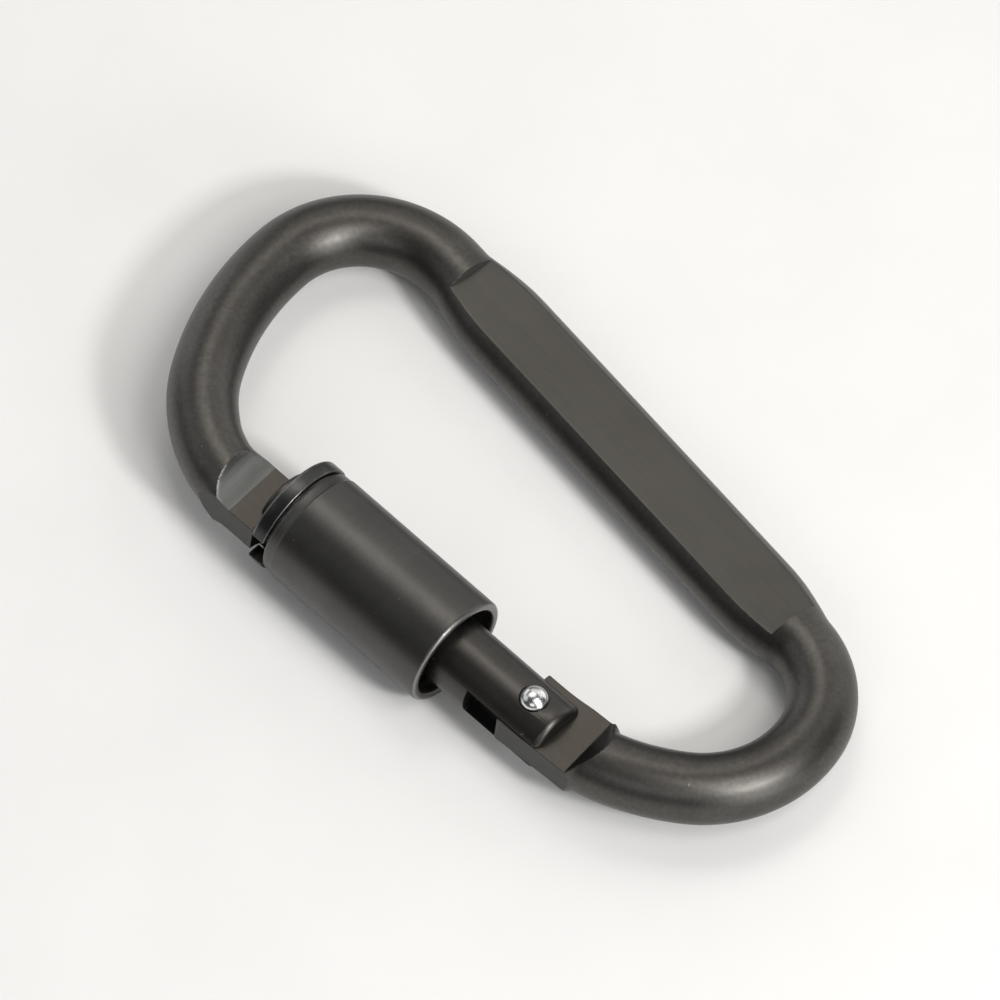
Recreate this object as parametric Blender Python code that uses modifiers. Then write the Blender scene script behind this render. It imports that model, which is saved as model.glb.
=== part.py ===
"""Locking carabiner: a bent aluminium D of 7 mm rod with a pressed flat spine, a hinged gate
and a spring-loaded sleeve that slides and twists on the gate.

Datum: the spine's centreline runs along X, the D opens towards -Y, and Z is the rod's
thickness.  S is measured along the gate's axis from the hinge rivet towards the nose, and N
across it, outwards.  All driving dimensions are in millimetres.
"""
import math

import bpy
import bmesh
from mathutils import Matrix, Vector

MM = 0.001

# ---- overall -----------------------------------------------------------------------------
CENTRE_X, CENTRE_Y = 4.602, -15.727      # middle of the whole part, measured from the spine's datum
ROD_R = 3.5

# ---- frame centreline: tangent arcs (radius, degrees) off both ends of the spine ----------
SPINE_X0, SPINE_X1 = -21.23, 31.69
NOSE_ARCS = [(10.96, 96.7), (29.56, 30.1), (15.12, 60.0)]
HINGE_ARCS = [(9.555, 71.1), (12.606, 64.2), (24.816, 37.9)]
NOSE_RUN, HINGE_RUN = 6.2, 3.2          # straight ends past the last arcs
ARC_STEP = 1.2

# ---- pressed spine ------------------------------------------------------------------------
FLAT_X0, FLAT_X1, FLAT_Z = -18.8, 30.5, 2.5
SPINE_WIDEN, PRESS_RAMP, PRESS_BEYOND = 0.31, 7.0, (0.8, 1.4)

# ---- gate axis ----------------------------------------------------------------------------
RIVET = (22.70, -26.30)
GATE_HEADING = 186.4                    # degrees, from the rivet towards the nose
GATE_R = 3.65
GATE_S0, GATE_S1 = -3.5, 33.6
EAR_GAP = 1.72                          # half height of both forks' slots
HINGE_SLOT_END, NOSE_SLOT_END = 5.7, 30.2

# ---- tongues ------------------------------------------------------------------------------
TONGUE_Z = 1.6
HINGE_TIP_S = 1.6
HINGE_FLAT = ((29.3, -24.8), 12.1)      # middle of the flat's end line, and its heading
HINGE_SIDE = ((21.25, -26.15), 9.5, 3.72)
HINGE_WIDEN, NOSE_WIDEN = 0.36, 0.18    # where the rod was pressed flat
NOSE_FLAT_S, NOSE_FLAT_N, NOSE_FLAT_TURN = 35.9, 2.0, 2.4
SCOOP_R = 3.5
NOSE_N0, NOSE_N1 = -1.6, 5.32
BLADE_N1, BLADE_TIP_S, SHOULDER_S = 4.20, 31.2, 32.42

# ---- pins ---------------------------------------------------------------------------------
RIVET_R, RIVET_HEAD_R, RIVET_HEAD_Z, RIVET_TOP = 1.15, 1.4, 3.36, 4.5
LATCH_S, LATCH_N, LATCH_R = 32.45, -0.6, 0.5
GUIDE_S, GUIDE_R, GUIDE_TIP = 25.4, 0.6, 4.6

# ---- plunger and its spring ----------------------------------------------------------------
BORE_R, BORE_END = 1.38, 17.0
PLUNGER_R, PLUNGER_TIP, PLUNGER_END = 1.25, 1.70, 7.6

# ---- sleeve, ring, spring -------------------------------------------------------------------
SLEEVE_R, SLEEVE_S0, SLEEVE_S1 = 6.0, 10.1, 30.57
SLEEVE_BORE, SLEEVE_COUNTERBORE, SHOULDER = 3.8, 5.12, 24.0
RING_S0, RING_S1, RING_BORE, RING_R = 30.80, 32.3, 4.60, 6.06
RING_NECK = 5.5
RING_GAP = (-3.0, 1.82)
SPRING_WIRE, SPRING_MEAN, SPRING_TURNS = 0.8, 4.38, 6.5
TWIST = 90.0
TRAVEL = 4.0

SIDES = 48


# ---- scene helpers --------------------------------------------------------------------------
for old in list(bpy.data.objects):
    bpy.data.objects.remove(old, do_unlink=True)

PARTS = bpy.data.collections.new("locking_carabiner")
CUTTERS = bpy.data.collections.new("cutters")
bpy.context.scene.collection.children.link(PARTS)
bpy.context.scene.collection.children.link(CUTTERS)


def material(name, color, roughness, metallic):
    m = bpy.data.materials.new(name)
    m.use_nodes = True
    b = m.node_tree.nodes["Principled BSDF"]
    b.inputs["Base Color"].default_value = (*color, 1.0)
    b.inputs["Roughness"].default_value = roughness
    b.inputs["Metallic"].default_value = metallic
    return m


ANODISED = material("gunmetal_anodised", (0.085, 0.080, 0.074), 0.42, 0.9)
BLACK = material("black_anodised", (0.045, 0.044, 0.042), 0.38, 0.9)
STEEL = material("polished_steel", (0.75, 0.75, 0.76), 0.12, 1.0)
SPRING = material("spring_steel", (0.42, 0.42, 0.43), 0.3, 1.0)

BASE = Matrix.Translation((-CENTRE_X * MM, -CENTRE_Y * MM, 0.0))
GATE = BASE @ Matrix.Translation((RIVET[0] * MM, RIVET[1] * MM, 0)) @ Matrix.Rotation(math.radians(GATE_HEADING), 4, "Z")
TURN = GATE @ Matrix.Rotation(math.radians(90), 4, "Y")     # local Z runs along the gate's axis
CLOCK = Matrix.Rotation(math.radians(5), 4, "Z")            # keeps a drilled hole's corners off the bar's ridge lines


def heading_frame(point, degrees):
    return BASE @ Matrix.Translation((point[0] * MM, point[1] * MM, 0)) @ Matrix.Rotation(math.radians(degrees), 4, "Z")


def add(name, mesh, matrix, mat=None, cutter=False):
    ob = bpy.data.objects.new(name, mesh)
    (CUTTERS if cutter else PARTS).objects.link(ob)
    ob.matrix_world = matrix
    if mat is not None:
        ob.data.materials.append(mat)
    if cutter:
        ob.hide_render = True
        ob.display_type = "WIRE"
    return ob


def finished(ob, angle=35.0):
    ob.data.shade_smooth()
    ob.data.set_sharp_from_angle(angle=math.radians(angle))
    return ob


def baked(ob, weld=1e-7):
    """Replaces a curve or a modified object by a mesh object of its evaluated shape."""
    bpy.context.view_layer.update()
    ev = ob.evaluated_get(bpy.context.evaluated_depsgraph_get())
    mesh = bpy.data.meshes.new_from_object(ev)
    bm = bmesh.new()
    bm.from_mesh(mesh)
    bmesh.ops.remove_doubles(bm, verts=bm.verts, dist=weld)
    bmesh.ops.recalc_face_normals(bm, faces=bm.faces)
    bm.to_mesh(mesh)
    bm.free()
    name, matrix, coll = ob.name, ob.matrix_world.copy(), ob.users_collection[0]
    mats = [m for m in ob.data.materials]
    old = ob.data
    bpy.data.objects.remove(ob, do_unlink=True)
    (bpy.data.curves if isinstance(old, bpy.types.Curve) else bpy.data.meshes).remove(old)
    new = bpy.data.objects.new(name, mesh)
    coll.objects.link(new)
    new.matrix_world = matrix
    mesh.materials.clear()
    for m in mats:
        mesh.materials.append(m)
    return new


def turned(name, profile, matrix, mat=None, steps=SIDES, closed=False, cutter=False):
    """A profile of (radius, height) in mm, top to bottom on its outer side, spun about local Z."""
    mesh = bpy.data.meshes.new(name)
    bm = bmesh.new()
    vs = [bm.verts.new((r * MM, 0.0, z * MM)) for r, z in profile]
    for a, b in zip(vs, vs[1:]):
        bm.edges.new((a, b))
    if closed:
        bm.edges.new((vs[-1], vs[0]))
    bm.to_mesh(mesh)
    bm.free()
    ob = add(name, mesh, matrix, mat, cutter)
    sc = ob.modifiers.new("spin", "SCREW")
    sc.axis = "Z"
    sc.angle = math.tau
    sc.steps = sc.render_steps = steps
    sc.use_merge_vertices = True
    sc.merge_threshold = 1e-6
    sc.use_smooth_shade = True
    ob = baked(ob)
    if cutter:
        ob.hide_render = True
        ob.display_type = "WIRE"
    return ob


def rod(name, r, z0, z1, matrix, mat=None, segments=24, cutter=False):
    mesh = bpy.data.meshes.new(name)
    bm = bmesh.new()
    bmesh.ops.create_cone(bm, cap_ends=True, segments=segments, radius1=r * MM, radius2=r * MM, depth=(z1 - z0) * MM,
                          matrix=Matrix.Translation((0, 0, 0.5 * (z0 + z1) * MM)))
    bm.to_mesh(mesh)
    bm.free()
    return add(name, mesh, matrix, mat, cutter)


def block(name, lo, hi, matrix, cutter=True):
    mesh = bpy.data.meshes.new(name)
    bm = bmesh.new()
    bmesh.ops.create_cube(bm, size=1.0)
    size = [(b - a) * MM for a, b in zip(lo, hi)]
    mid = [0.5 * (a + b) * MM for a, b in zip(lo, hi)]
    for v in bm.verts:
        v.co = Vector((v.co.x * size[0] + mid[0], v.co.y * size[1] + mid[1], v.co.z * size[2] + mid[2]))
    bm.to_mesh(mesh)
    bm.free()
    return add(name, mesh, matrix, None, cutter)


def plate(name, outline, half, matrix):
    """A flat outline (local XY, mm) of thickness 2*half along local Z, as a cutter mesh."""
    cu = bpy.data.curves.new(name, "CURVE")
    cu.dimensions = "2D"
    cu.fill_mode = "BOTH"
    cu.extrude = half * MM
    sp = cu.splines.new("POLY")
    sp.points.add(len(outline) - 1)
    for p, (x, y) in zip(sp.points, outline):
        p.co = (x * MM, y * MM, 0, 1)
    sp.use_cyclic_u = True
    ob = bpy.data.objects.new(name, cu)
    CUTTERS.objects.link(ob)
    ob.matrix_world = matrix
    ob = baked(ob)
    ob.hide_render = True
    ob.display_type = "WIRE"
    return ob


def cut(ob, *tools):
    for t in tools:
        m = ob.modifiers.new("cut_" + t.name, "BOOLEAN")
        m.operation = "DIFFERENCE"
        m.solver = "EXACT"
        m.object = t


def ring_of(r0, r1, s0, s1, edge=0.12):
    """Closed profile of a plain ring with broken outer edges."""
    return [(r1 - edge, s1), (r1, s1 - edge), (r1, s0 + edge), (r1 - edge, s0), (r0, s0), (r0, s1)]


# ---- frame ----------------------------------------------------------------------------------
def arc_chain(start, heading, arcs, side, run):
    """Points along tangent arcs from start; side +1 bends left, -1 bends right."""
    pts, p, h = [], Vector(start), math.radians(heading)
    for radius, degrees in arcs:
        n = max(2, round(radius * math.radians(degrees) / ARC_STEP))
        c = p + Vector((-math.sin(h), math.cos(h))) * radius * side
        for i in range(1, n + 1):
            a = h + side * math.radians(degrees) * i / n
            pts.append(c + Vector((math.sin(a), -math.cos(a))) * radius * side)
        p, h = pts[-1], h + side * math.radians(degrees)
    for k in (1, 2):
        pts.append(p + Vector((math.cos(h), math.sin(h))) * run * k / 2)
    return pts


def centreline():
    n = 34
    spine = [Vector((SPINE_X0 + (SPINE_X1 - SPINE_X0) * i / n, 0)) for i in range(n + 1)]
    nose = arc_chain((SPINE_X0, 0), 180, NOSE_ARCS, 1, NOSE_RUN)
    hinge = arc_chain((SPINE_X1, 0), 0, HINGE_ARCS, -1, HINGE_RUN)
    return list(reversed(nose)) + spine + hinge


def smooth(t):
    t = min(1.0, max(0.0, t))
    return t * t * (3 - 2 * t)


def gate_coords(p):
    a = math.radians(GATE_HEADING)
    dx, dy = p.x - RIVET[0], p.y - RIVET[1]
    return dx * math.cos(a) + dy * math.sin(a), -dx * math.sin(a) + dy * math.cos(a)


def press(ob, path):
    """Widens the rod's round section where it was pressed: along the spine and at both tongues."""
    for v in ob.data.vertices:
        p = Vector((v.co.x, v.co.y)) / MM
        best = None
        for a, b in zip(path, path[1:]):
            d = b - a
            t = min(1.0, max(0.0, (p - a).dot(d) / d.dot(d)))
            q = a + d * t
            gap = (p - q).length
            if best is None or gap < best[0]:
                best = (gap, q)
        q = best[1]
        wide = 1.0
        lo, hi = FLAT_X0 - PRESS_BEYOND[0], FLAT_X1 + PRESS_BEYOND[1]
        if q.y > -0.8 and lo < q.x < hi:
            ramp = min(1.0, (q.x - lo) / PRESS_RAMP, (hi - q.x) / PRESS_RAMP)
            wide = 1 + SPINE_WIDEN * math.sin(0.5 * math.pi * ramp)
        elif q.y < -18:
            s, n = gate_coords(q)
            if s < 15:
                wide = 1 + HINGE_WIDEN * smooth((7.9 + s) / 1.5)
            else:
                wide = 1 + NOSE_WIDEN * smooth((40.0 - s) / 3.5)
        off = p - q
        v.co.x, v.co.y, v.co.z = (q.x + off.x * wide) * MM, (q.y + off.y * wide) * MM, v.co.z


def make_frame():
    path = centreline()
    cu = bpy.data.curves.new("frame", "CURVE")
    cu.dimensions = "3D"
    cu.twist_mode = "Z_UP"
    cu.fill_mode = "FULL"
    cu.bevel_depth = ROD_R * MM
    cu.bevel_resolution = 10
    cu.use_fill_caps = True
    sp = cu.splines.new("POLY")
    sp.points.add(len(path) - 1)
    for p, q in zip(sp.points, path):
        p.co = (q.x * MM, q.y * MM, 0, 1)
    ob = bpy.data.objects.new("frame", cu)
    PARTS.objects.link(ob)
    ob.matrix_world = BASE
    ob = baked(ob)
    press(ob, path)
    ob.data.materials.clear()
    ob.data.materials.append(ANODISED)

    tools = []
    for side, label in ((1, "top"), (-1, "bottom")):
        z = sorted((side * FLAT_Z, side * 9.0))
        tools.append(block("spine_flat_" + label, (FLAT_X0, -8, z[0]), (FLAT_X1, 8, z[1]), BASE))

    up = Matrix.Rotation(math.radians(90), 4, "X")          # outline's Y becomes Z
    # nose: flats with a concave scoop of radius SCOOP_R up to the rod
    n = 12
    outline = [(-9.0, TONGUE_Z)]
    outline += [(SCOOP_R * math.sin(a), TONGUE_Z + SCOOP_R * (1 - math.cos(a)))
                for a in [math.radians(90) * i / n for i in range(n + 1)]]
    outline += [(SCOOP_R, 8.0), (-9.0, 8.0)]
    nose = GATE @ Matrix.Translation((NOSE_FLAT_S * MM, NOSE_FLAT_N * MM, 0)) @ Matrix.Rotation(math.radians(NOSE_FLAT_TURN), 4, "Z")
    tools.append(plate("nose_scoop_top", outline, 8, nose @ up))
    tools.append(plate("nose_scoop_bottom", [(x, -z) for x, z in outline], 8, nose @ up))
    # hinge: flats that end in a steep, slightly hollow run-out
    outline = [(-14.0, TONGUE_Z), (0.0, TONGUE_Z), (0.52, 1.98), (1.0, 2.40), (1.45, 2.90), (1.85, 3.5), (2.1, 4.2), (2.1, 8.0), (-14.0, 8.0)]
    hinge = heading_frame(*HINGE_FLAT)
    tools.append(plate("hinge_flat_top", outline, 8, hinge @ up))
    tools.append(plate("hinge_flat_bottom", [(x, -z) for x, z in outline], 8, hinge @ up))
    # milled sides of both tongues
    side = heading_frame(HINGE_SIDE[0], HINGE_SIDE[1])
    tools.append(block("hinge_side_inner", (-4, HINGE_SIDE[2], -5), (8.6, 8, 5), side))
    tools.append(block("hinge_side_outer", (-4, -8, -5), (8.6, -HINGE_SIDE[2], 5), side))
    tools.append(block("nose_side_outer", (26, NOSE_N1, -5), (46, 12, 5), GATE))
    tools.append(block("nose_side_inner", (26, -9, -5), (36.7, NOSE_N0, 5), GATE))
    # tongue tips
    tools.append(block("hinge_tip", (HINGE_TIP_S, -8, -5), (9, 8, 5), GATE))
    tools.append(block("nose_tip", (24, -9, -5), (BLADE_TIP_S, 12, 5), GATE))
    tools.append(block("nose_shoulder", (24, BLADE_N1, -5), (SHOULDER_S, 12, 5), GATE))
    # the rivet's hole and the hook for the latch pin
    tools.append(rod("rivet_hole", RIVET_R + 0.12, -5, 5, GATE @ CLOCK, cutter=True))
    notch = [(LATCH_S + (LATCH_R + 0.12) * math.cos(a), LATCH_N + (LATCH_R + 0.12) * math.sin(a))
             for a in [math.pi * i / 10 for i in range(11)]]
    notch = [(LATCH_S + LATCH_R + 0.12, -5.0)] + notch + [(LATCH_S - LATCH_R - 0.12, -5.0)]
    tools.append(plate("latch_hook", notch, 5, GATE))
    cut(ob, *tools)
    return finished(ob)


make_frame()

# ---- gate -----------------------------------------------------------------------------------
GROOVE = (12.02, 12.62, 3.22)
gate = turned("gate", [
    (0, GATE_S1), (3.30, GATE_S1), (3.55, GATE_S1 - 0.10), (GATE_R, GATE_S1 - 0.35),
    (GATE_R, GROOVE[1]), (GROOVE[2], GROOVE[1]), (GROOVE[2], GROOVE[0]), (GATE_R, GROOVE[0]),
    (GATE_R, GATE_S0 + 0.75), (3.55, GATE_S0 + 0.34), (3.28, GATE_S0 + 0.10), (2.9, GATE_S0), (0, GATE_S0)], TURN, BLACK)
gate.matrix_world = TURN
cut(gate,
    block("hinge_slot", (GATE_S0 - 2, -6, -EAR_GAP), (HINGE_SLOT_END, 6, EAR_GAP), GATE),
    block("nose_slot", (NOSE_SLOT_END, -6, -EAR_GAP), (GATE_S1 + 2, 6, EAR_GAP), GATE),
    rod("gate_rivet_hole", RIVET_R + 0.06, -6, 6, GATE @ CLOCK, cutter=True),
    rod("gate_spotface_top", RIVET_HEAD_R + 0.08, RIVET_HEAD_Z - 0.07, 6, GATE @ CLOCK, cutter=True),
    rod("gate_spotface_bottom", RIVET_HEAD_R + 0.08, -6, -RIVET_HEAD_Z + 0.07, GATE @ CLOCK, cutter=True),
    rod("latch_hole", LATCH_R + 0.06, -3.05, 3.05, GATE @ Matrix.Translation((LATCH_S * MM, LATCH_N * MM, 0)), segments=16, cutter=True),
    rod("plunger_bore", BORE_R, 4.0, BORE_END, TURN, cutter=True),
    rod("guide_hole", GUIDE_R + 0.06, 2.6, 6, GATE @ Matrix.Translation((GUIDE_S * MM, 0, 0)) @ Matrix.Rotation(math.radians(90), 4, "X") @ CLOCK, segments=16, cutter=True))
finished(gate)

# ---- pins -----------------------------------------------------------------------------------
dome = [(0, RIVET_TOP)] + [(RIVET_HEAD_R * math.sin(a), RIVET_HEAD_Z + 0.12 + (RIVET_TOP - RIVET_HEAD_Z - 0.12) * math.cos(a))
                           for a in [math.radians(90) * i / 5 for i in range(1, 6)]]
half = dome + [(RIVET_HEAD_R, RIVET_HEAD_Z), (RIVET_R, RIVET_HEAD_Z)]
finished(turned("hinge_rivet", half + [(r, -z) for r, z in reversed(half)], GATE, STEEL, steps=24))
finished(rod("latch_pin", LATCH_R, -3.0, 3.0, GATE @ Matrix.Translation((LATCH_S * MM, LATCH_N * MM, 0)), STEEL, 16))
finished(rod("guide_pin", GUIDE_R, 2.7, GUIDE_TIP, GATE @ Matrix.Translation((GUIDE_S * MM, 0, 0)) @ Matrix.Rotation(math.radians(90), 4, "X"), STEEL, 16))

# ---- plunger and its spring -------------------------------------------------------------------
finished(turned("gate_plunger", [
    (0, PLUNGER_END), (0.62, PLUNGER_END), (0.62, PLUNGER_END - 1.2), (PLUNGER_R, PLUNGER_END - 1.2),
    (PLUNGER_R, PLUNGER_TIP + 0.32), (0.9, PLUNGER_TIP), (0, PLUNGER_TIP)], TURN, STEEL, steps=24))


def coil(name, mean, wire, s0, s1, turns, per_turn, matrix, mat):
    """A compression spring with its end turns closed up, between the planes s0 and s1."""
    cu = bpy.data.curves.new(name, "CURVE")
    cu.dimensions = "3D"
    cu.bevel_depth = wire / 2 * MM
    cu.bevel_resolution = 1
    cu.use_fill_caps = True
    sp = cu.splines.new("POLY")
    count = int(turns * per_turn)
    sp.points.add(count)
    lo, hi = s0 + wire / 2 + 0.03, s1 - wire / 2 - 0.03
    pitch_end = wire * 1.06
    for i, p in enumerate(sp.points):
        t = turns * i / count
        body = (hi - lo - 2 * pitch_end) / (turns - 2)
        if t < 1:
            s = lo + pitch_end * t
        elif t > turns - 1:
            s = hi - pitch_end * (turns - t)
        else:
            s = lo + pitch_end + body * (t - 1)
        a = math.tau * t
        p.co = (mean * math.cos(a) * MM, mean * math.sin(a) * MM, s * MM, 1)
    ob = bpy.data.objects.new(name, cu)
    PARTS.objects.link(ob)
    ob.matrix_world = matrix
    ob = baked(ob)
    ob.data.materials.clear()
    ob.data.materials.append(mat)
    return finished(ob, 60)


coil("gate_spring", 1.02, 0.42, PLUNGER_END - 1.2 + 0.1, BORE_END, 9, 9, TURN, SPRING)

# ---- sleeve and the ring above it ---------------------------------------------------------------
sleeve = turned("lock_sleeve", [
    (SLEEVE_R - 0.35, SLEEVE_S1), (SLEEVE_R - 0.16, SLEEVE_S1 - 0.10), (SLEEVE_R - 0.10, SLEEVE_S1 - 0.30),
    (SLEEVE_R - 0.10, SLEEVE_S1 - 1.10), (SLEEVE_R, SLEEVE_S1 - 1.22),
    (SLEEVE_R, SLEEVE_S0 + 0.55), (SLEEVE_R - 0.16, SLEEVE_S0 + 0.16), (SLEEVE_R - 0.5, SLEEVE_S0),
    (SLEEVE_COUNTERBORE + 0.12, SLEEVE_S0 + 0.10), (SLEEVE_COUNTERBORE, SLEEVE_S0 + 0.40),
    (SLEEVE_COUNTERBORE, SHOULDER), (SLEEVE_BORE, SHOULDER), (SLEEVE_BORE, SLEEVE_S1)], TURN, BLACK, closed=True)
# pocket for the guide pin: a sector of 90 degrees plus the pin, TRAVEL long, open at the shoulder
margin = math.degrees((GUIDE_R + 0.15) / 4.2)
sector = [(0.0, 0.0)]
a0, a1 = 90.0 - margin, 180.0 + margin
for i in range(13):
    a = math.radians(a0 + (a1 - a0) * i / 12)
    sector.append((4.78 * math.cos(a), 4.78 * math.sin(a)))
# sector angles run from N towards +Z, seen along the gate's axis
sector_frame = GATE @ Matrix(((0, 0, 1, 0), (1, 0, 0, 0), (0, 1, 0, 0), (0, 0, 0, 1)))
pocket_top = GUIDE_S + GUIDE_R + 0.12 + TRAVEL + 0.08
pocket = plate("pin_pocket", sector, (pocket_top - (SHOULDER - 1.0)) / 2,
               sector_frame @ Matrix.Translation((0, 0, (pocket_top + SHOULDER - 1.0) / 2 * MM)))
cut(sleeve, pocket)
finished(sleeve)

# lock ring: stands on the sleeve's top face by a short neck and turns with it; its side opening
# faces outwards when unlocked, so that the blade can swing out through it
ring = turned("lock_ring", [
    (RING_R - 0.14, RING_S1), (RING_R, RING_S1 - 0.14), (RING_R, RING_S0 + 0.14), (RING_R - 0.14, RING_S0),
    (RING_NECK, RING_S0), (RING_NECK, SLEEVE_S1 + 0.01), (RING_BORE, SLEEVE_S1 + 0.01), (RING_BORE, RING_S1)],
    TURN, BLACK, closed=True)
cut(ring, block("ring_opening", (RING_S0 - 1, 0, RING_GAP[0]), (RING_S1 + 1, 9, RING_GAP[1]), GATE))
finished(ring)

# ---- sleeve spring and its seats ------------------------------------------------------------------
SEAT = (12.72, 13.22)
THRUST = (23.35, 23.90)
finished(turned("spring_seat_washer", ring_of(3.74, 4.95, *SEAT, 0.06), TURN, SPRING, closed=True))
finished(turned("sleeve_thrust_washer", ring_of(3.78, 4.98, *THRUST, 0.06), TURN, SPRING, closed=True))
coil("sleeve_spring", SPRING_MEAN, SPRING_WIRE, SEAT[1], THRUST[0], SPRING_TURNS, 14, TURN, SPRING)
snap = turned("seat_snap_ring", ring_of(3.30, 4.55, GROOVE[0] + 0.06, GROOVE[1] - 0.06, 0.08), TURN, SPRING, steps=36, closed=True)
cut(snap, block("snap_gap", (10, -9, -1.3), (14, 0, 1.3), GATE))
finished(snap)
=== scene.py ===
import math

import bmesh
import bpy
import numpy as np
from mathutils import Matrix, Vector


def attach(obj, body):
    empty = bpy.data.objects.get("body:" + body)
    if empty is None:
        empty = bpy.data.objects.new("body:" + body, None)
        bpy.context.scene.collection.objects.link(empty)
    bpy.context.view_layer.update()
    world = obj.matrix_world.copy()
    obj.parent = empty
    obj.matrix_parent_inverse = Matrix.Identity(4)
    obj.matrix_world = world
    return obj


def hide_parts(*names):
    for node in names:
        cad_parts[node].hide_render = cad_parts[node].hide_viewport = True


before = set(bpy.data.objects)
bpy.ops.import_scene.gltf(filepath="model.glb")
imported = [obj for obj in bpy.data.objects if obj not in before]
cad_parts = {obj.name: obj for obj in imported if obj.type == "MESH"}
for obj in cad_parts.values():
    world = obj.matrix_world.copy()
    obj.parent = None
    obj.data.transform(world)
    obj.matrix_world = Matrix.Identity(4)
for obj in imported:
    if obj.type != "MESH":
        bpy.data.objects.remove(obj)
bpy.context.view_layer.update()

# Locking carabiner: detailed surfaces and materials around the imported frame.
# Everything is placed from the rod's own datum: the spine's centreline along X at Y = 0,
# S along the gate's axis from the rivet towards the nose, N across it outwards.  Millimetres.
MM = 0.001
CX, CY = 4.602, -15.727
ROD_R = 3.5
RIVET = (22.70, -26.30)
GATE_HEADING = math.radians(186.4)
EAR_GAP = 1.72
BASE = Matrix.Translation((-CX * MM, -CY * MM, 0.0))
GATE = BASE @ Matrix.Translation((RIVET[0] * MM, RIVET[1] * MM, 0)) @ Matrix.Rotation(GATE_HEADING, 4, "Z")
TURN = GATE @ Matrix.Rotation(math.radians(90), 4, "Y")

TOOLS = bpy.data.collections.new("tools")
PIECES = bpy.data.collections.new("pieces")
bpy.context.scene.collection.children.link(TOOLS)
bpy.context.scene.collection.children.link(PIECES)


# =========================================================================== materials
def nodes_of(name):
    m = bpy.data.materials.new(name)
    m.use_nodes = True
    nt = m.node_tree
    return m, nt, nt.nodes["Principled BSDF"]


def node(nt, kind, **values):
    n = nt.nodes.new(kind)
    for k, v in values.items():
        if k.startswith("in_"):
            n.inputs[k[3:].replace("_", " ")].default_value = v
        else:
            setattr(n, k, v)
    return n


def coords(nt, scale=(1, 1, 1), rotation=0.0, location=(0, 0, 0)):
    """Object coordinates in millimetres, turned about Z and then stretched."""
    tc = node(nt, "ShaderNodeTexCoord")
    turn = node(nt, "ShaderNodeMapping", vector_type="POINT")
    turn.inputs["Rotation"].default_value = (0, 0, rotation)
    turn.inputs["Location"].default_value = location
    turn.inputs["Scale"].default_value = (1000, 1000, 1000)
    nt.links.new(tc.outputs["Object"], turn.inputs["Vector"])
    st = node(nt, "ShaderNodeMapping", vector_type="POINT")
    st.inputs["Scale"].default_value = scale
    nt.links.new(turn.outputs["Vector"], st.inputs["Vector"])
    return st.outputs["Vector"]


def noise(nt, vector, scale, detail=3.0, rough=0.55):
    n = node(nt, "ShaderNodeTexNoise", in_Scale=scale, in_Detail=detail, in_Roughness=rough)
    nt.links.new(vector, n.inputs["Vector"])
    return n.outputs["Fac"]


def ramp(nt, fac, stops):
    r = node(nt, "ShaderNodeValToRGB")
    cr = r.color_ramp
    while len(cr.elements) > 1:
        cr.elements.remove(cr.elements[-1])
    for i, (pos, col) in enumerate(stops):
        e = cr.elements[0] if i == 0 else cr.elements.new(pos)
        e.position = pos
        e.color = (*col, 1.0) if len(col) == 3 else col
    nt.links.new(fac, r.inputs["Fac"])
    return r.outputs["Color"]


def remap(nt, fac, a, b, lo, hi):
    n = node(nt, "ShaderNodeMapRange")
    n.inputs["From Min"].default_value = a
    n.inputs["From Max"].default_value = b
    n.inputs["To Min"].default_value = lo
    n.inputs["To Max"].default_value = hi
    nt.links.new(fac, n.inputs["Value"])
    return n.outputs["Result"]


def mixed(nt, fac, a, b, blend="MIX"):
    n = node(nt, "ShaderNodeMix", data_type="RGBA", blend_type=blend)
    for key, val in ((0, fac), (6, a), (7, b)):
        if isinstance(val, (int, float)):
            n.inputs[key].default_value = val
        elif isinstance(val, tuple):
            n.inputs[key].default_value = (*val, 1.0)
        else:
            nt.links.new(val, n.inputs[key])
    return n.outputs[2]


def math_node(nt, op, a, b=0.0):
    n = node(nt, "ShaderNodeMath", operation=op)
    for i, val in enumerate((a, b)):
        if isinstance(val, (int, float)):
            n.inputs[i].default_value = val
        else:
            nt.links.new(val, n.inputs[i])
    return n.outputs[0]


def bumped(nt, bsdf, heights, distance=0.00002):
    """Chains (height, strength) pairs of bumps into the shader's normal."""
    last = None
    for h, strength in heights:
        b = node(nt, "ShaderNodeBump", in_Strength=strength, in_Distance=distance)
        nt.links.new(h, b.inputs["Height"])
        if last is not None:
            nt.links.new(last, b.inputs["Normal"])
        last = b.outputs["Normal"]
    nt.links.new(last, bsdf.inputs["Normal"])


def blasted(name, dark, light, r_lo, r_hi, grain=9.0, strength=0.28, dust=True):
    """Bead-blasted anodised aluminium: fine dimples, faint mottling, a few pale specks."""
    m, nt, b = nodes_of(name)
    v = coords(nt)
    fine = noise(nt, v, grain, 3.0, 0.6)
    mid = noise(nt, v, 2.2, 3.0, 0.6)
    big = noise(nt, v, 0.22, 2.0, 0.5)
    base = ramp(nt, mid, [(0.30, dark), (0.72, light)])
    base = mixed(nt, remap(nt, big, 0.35, 0.65, 0.0, 0.35), base, tuple(c * 0.82 for c in dark))
    base = mixed(nt, remap(nt, fine, 0.60, 0.82, 0.0, 0.30), base, tuple(min(1, c * 1.9) for c in light))
    if dust:
        speck = noise(nt, v, 1.35, 1.0, 0.4)
        base = mixed(nt, remap(nt, speck, 0.80, 0.82, 0.0, 0.35), base, (0.32, 0.31, 0.29))
    nt.links.new(base, b.inputs["Base Color"])
    nt.links.new(remap(nt, fine, 0.3, 0.7, r_lo, r_hi), b.inputs["Roughness"])
    b.inputs["Metallic"].default_value = 1.0
    bumped(nt, b, [(fine, strength), (mid, strength * 0.35)])
    return m


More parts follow.
